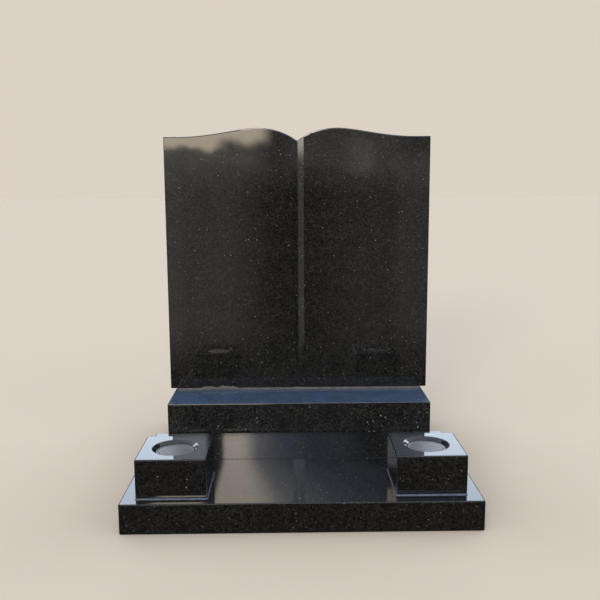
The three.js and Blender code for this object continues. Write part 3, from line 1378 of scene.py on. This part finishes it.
@dataclass
class Studio:
    """Pale floor, soft light and the panels that the polished faces mirror."""

    floor_size: float = 60.0
    floor_colour: Colour = (0.462, 0.379, 0.296)
    fibre_scale: float = 900.0
    fibre_gain: float = 1.02
    floor_roughness: float = 0.9
    backdrop: Colour = (0.716, 0.638, 0.558)
    key_energy: float = 1.5
    key_colour: Colour = (1.0, 0.96, 0.90)
    key_spread: float = math.radians(16)
    key_from: Point = (-0.4, -1.0, 0.35)
    sky: Colour = (0.12, 0.12, 0.12)
    ground: Colour = (0.03, 0.03, 0.028)
    horizon: Span = (-0.6, 0.8)
    cloud_scale: float = 16.0
    cloud_shift: float = 4.0
    spread_axis: float = -4.7
    spread_from: float = 20.8
    spread_rate: float = 0.43
    patches: tuple[LightPatch, ...] = (
        LightPatch(BACK, (-181, 181), (1, 1), (30, 91), (5, 1), (0.95, 1.08, 1.25)),
        LightPatch(BACK, (-78, 78), (12, 12), (18, 25), (1.2, 5), (2.65, 3.07, 3.65)),
        LightPatch(FRONT, (-5.4, -4.2), (0.15, 1.6), (18.8, 25), (0.15, 5), (20, 16.5, 12.5)),
        LightPatch(FRONT, (-5.4, -3.6), (0.15, 3.2), (18.8, 25), (0.15, 5), (6.0, 5.6, 5.2)),
        LightPatch(FRONT, (-5.4, -1.2), (0.15, 3.4), (18.8, 25), (0.15, 5), (1.5, 1.7, 2.1)),
        LightPatch(FRONT, (-5.4, 3.5), (0.15, 3.2), (18.8, 25), (0.15, 5), (1.1, 1.35, 2.0)),
        LightPatch(FRONT, (-10.5, -6.9), (2, 0.3), (18.8, 20.9), (0.3, 0.4), (11.5, 12.2, 14)),
        LightPatch(FRONT, (-7.6, -5.9), (0.4, 0.2), (22.9, 24.5), (0.3, 0.5), (24, 21, 17)),
        LightPatch(FRONT, (8.0, 16), (0.2, 3), (18.8, 21.5), (0.2, 1.5), (4.2, 5.0, 6.4)),
        LightPatch(FRONT, (-60, -16), (8, 4), (18.8, 26), (0.5, 5), (3.7, 4.1, 5.1)),
        LightPatch(FRONT, (12, 60), (3, 8), (18.8, 26), (0.5, 5), (4.2, 4.6, 5.6)),
        LightPatch(FRONT, (-16, -6.0), (3, 1.5), (3.0, 9), (0.7, 3), (6.4, 5.4, 4.1), 1.1),
        LightPatch(FRONT, (-4.5, -2.4), (1.5, 1.3), (4.0, 9), (0.8, 3), (6.4, 5.4, 4.1), 0.6),
        LightPatch(FRONT, (-16, -3.5), (3, 2.5), (2.0, 4), (1.2, 2), (0.5, 0.44, 0.38), 1.2),
        LightPatch(FRONT, (1.5, 7.5), (2.5, 2), (2.8, 9), (1.6, 3), (0.22, 0.20, 0.18), 1.6),
        LightPatch(FRONT, (5.2, 6.0), (1.4, 0.9), (2.0, 2.7), (1.1, 1.1), (0.42, 0.38, 0.33), 1.0),
        LightPatch(FRONT, (22, 60), (6, 6), (2.5, 6), (2, 2.5), (0.3, 0.28, 0.25)),
        LightPatch(FRONT, (-60, -22), (6, 6), (3.8, 6), (2, 2.5), (6.5, 6.0, 5.2)),
        LightPatch(FRONT, (-25, 25), (10, 10), (2, 12), (2.4, 6), (0.14, 0.135, 0.12)),
        LightPatch(FRONT, (-60, -5.5), (10, 5), (-10, 1.5), (4.5, 2), (0.38, 0.36, 0.325)),
        LightPatch(FRONT, (-60, -9), (10, 1.2), (-10, 1.5), (4.5, 2), (0.15, 0.14, 0.13)),
        LightPatch(FRONT, (6.0, 26), (5, 8), (-10, 1.5), (4.5, 2), (0.15, 0.145, 0.13)),
        LightPatch(FRONT, (8.8, 26), (1.2, 8), (-10, 1.5), (4.5, 2), (0.15, 0.14, 0.13)),
    )

    def _patch_group(self) -> Tree:
        """Build the group that masks one light patch."""
        inputs = numbers("Azimuth", "Elevation", *PATCH_EDGES)
        sheet, size, wanted = new_group("light_patch", "ShaderNodeTree", inputs, numbers("Mask"))
        mask: Any = 1.0
        for value, near, near_edge, far, far_edge in (
            ("Azimuth", "From", "From Edge", "To", "To Edge"),
            ("Elevation", "Low", "Low Edge", "High", "High Edge"),
        ):
            begin = sheet.minus(size[near], size[near_edge])
            rise = sheet.remap(size[value], (begin, size[near]), smooth=True)
            finish = sheet.plus(size[far], size[far_edge])
            fall = sheet.remap(size[value], (size[far], finish), FALLING, True)
            mask = sheet.times(mask, sheet.times(rise, fall))
        sheet.feed(wanted["Mask"], mask)
        return sheet.tree

    def _surround(self) -> None:
        """Fill the world with the fill light, the ground tone and the patches."""
        world = bpy.data.worlds.new("studio_surround")
        bpy.context.scene.world = world
        world.use_nodes = True
        world.node_tree.nodes.clear()
        sheet = NodeSheet(world.node_tree)
        direction = sheet.add("ShaderNodeTexCoord").outputs["Generated"]
        parts = sheet.parts(direction)
        elevation = sheet.math("DEGREES", sheet.math("ARCSINE", parts["Z"]))
        to_front = sheet.times(parts["Y"], -1.0)
        frontal = sheet.math("DEGREES", sheet.math("ARCTAN2", parts["X"], to_front))
        rearward = sheet.math("DEGREES", sheet.math("ARCTAN2", parts["X"], parts["Y"]))
        climb = sheet.math("MAXIMUM", sheet.minus(elevation, self.spread_from), 0.0)
        widen = sheet.plus(sheet.times(climb, self.spread_rate), 1.0)
        spread = sheet.math("DIVIDE", sheet.minus(frontal, self.spread_axis), widen)
        azimuths = {FRONT: sheet.plus(spread, self.spread_axis), BACK: rearward}
        warp = sheet.minus(sheet.noise(direction, self.cloud_scale, 4.0), 0.5)
        above = sheet.remap(elevation, self.horizon, smooth=True)
        light: Any = sheet.blend(above, self.ground, self.sky)
        group = self._patch_group()
        for patch in self.patches:
            height: Any = elevation
            if patch.cloud:
                shift = sheet.times(warp, self.cloud_shift * patch.cloud)
                height = sheet.plus(elevation, shift)
            feeds = {"Azimuth": azimuths[patch.side], "Elevation": height, **patch.edges()}
            glow = sheet.scaled(patch.light, sheet.group(group, feeds)["Mask"])
            light = sheet.vector("ADD", light, glow)
        lit = sheet.add("ShaderNodeBackground", {"Color": light})
        plain = sheet.add("ShaderNodeBackground", {"Color": (*self.backdrop, 1.0)})
        seen = sheet.add("ShaderNodeLightPath").outputs["Is Camera Ray"]
        feeds = {0: seen, 1: lit.outputs[0], 2: plain.outputs[0]}
        both = sheet.add("ShaderNodeMixShader", feeds)
        sheet.add("ShaderNodeOutputWorld", {"Surface": both.outputs[0]})

    def _floor(self) -> None:
        """Lay the pale floor, which the polished faces don't mirror."""
        form = bmesh.new()
        bmesh.ops.create_grid(form, x_segments=2, y_segments=2, size=self.floor_size)
        floor = mesh_object("studio_floor", to_mesh("studio_floor", form))
        material, sheet, shader = new_material("floor_paper")
        fibre = sheet.noise(object_place(sheet), self.fibre_scale, 2.0)
        bright = tuple(min(1.0, part * self.fibre_gain) for part in self.floor_colour)
        colour = sheet.blend(fibre, self.floor_colour, bright)
        matt = {"Roughness": self.floor_roughness, "Specular IOR Level": 0.0}
        sheet.fill(shader, {"Base Color": colour, **matt})
        floor.data.materials.append(material)
        floor.visible_glossy = False

    def _key(self) -> None:
        """Hang the soft key light in front and to the left."""
        lamp = bpy.data.lights.new("key_light", "SUN")
        lamp.energy, lamp.color, lamp.angle = self.key_energy, self.key_colour, self.key_spread
        holder = bpy.data.objects.new("key_light", lamp)
        bpy.context.scene.collection.objects.link(holder)
        holder.visible_glossy = False
        toward = -Vector(self.key_from)
        holder.rotation_euler = toward.to_track_quat("-Z", "Y").to_euler()

    def build(self) -> None:
        """Make the surround, the floor and the key light."""
        self._surround()
        self._floor()
        self._key()
        view = bpy.context.scene.view_settings
        view.view_transform, view.look = "Standard", "None"
        LOG.info("studio: %d light patches", len(self.patches))


@dataclass
class Viewpoint:
    """The photograph's camera. Angles are in degrees, the focal length in pixels."""

    position: Point = (-0.0217, -1.8294, 0.7086)
    yaw: float = 0.756
    pitch_down: float = 8.554
    roll: float = 0.318
    focal_pixels: float = 738.28
    frame_pixels: float = 600.0
    sensor: float = 36.0

    def build(self) -> Piece:
        """Place the camera and make it the scene's own.

        Returns:
            The camera.
        """
        yaw, pitch, roll = map(math.radians, (self.yaw, self.pitch_down, self.roll))
        ahead = math.cos(pitch)
        forward = Vector((math.sin(yaw) * ahead, math.cos(yaw) * ahead, -math.sin(pitch)))
        level = Vector((math.cos(yaw), -math.sin(yaw), 0.0))
        down = forward.cross(level)
        right = math.cos(roll) * level + math.sin(roll) * down
        under = -math.sin(roll) * level + math.cos(roll) * down
        turn = Matrix((right, -under, -forward)).transposed()
        lens = bpy.data.cameras.new("viewpoint")
        lens.sensor_width = self.sensor
        lens.lens = self.focal_pixels / self.frame_pixels * self.sensor
        camera = bpy.data.objects.new("viewpoint", lens)
        camera.matrix_world = Matrix.Translation(self.position) @ turn.to_4x4()
        bpy.context.scene.collection.objects.link(camera)
        bpy.context.scene.camera = camera
        return camera


def main() -> None:
    """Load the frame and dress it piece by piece."""
    logging.basicConfig(level=logging.INFO, format="%(name)s: %(message)s")
    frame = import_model()
    nodes = frame["nodes"]
    Viewpoint().build()
    Studio().build()
    finishes = Finishes(Effects())
    BookTablet(finishes.book).build()
    PlainStone("plinth", "plinth_stone", finishes.plinth).build()
    PlainStone("base_slab", "base_slab_stone", finishes.slab).build()
    BookBed(finishes.mortar, finishes.smear).build()
    recoat(nodes, "slab_joint", finishes.shaded_joint)
    for hand in Hand:
        VaseBlock(hand, finishes.vase, finishes.honed).build()
        PointingBead(hand, finishes.pointing).build()
        FlowerContainer(hand, finishes, nodes).build()


if __name__ == "__main__":
    main()
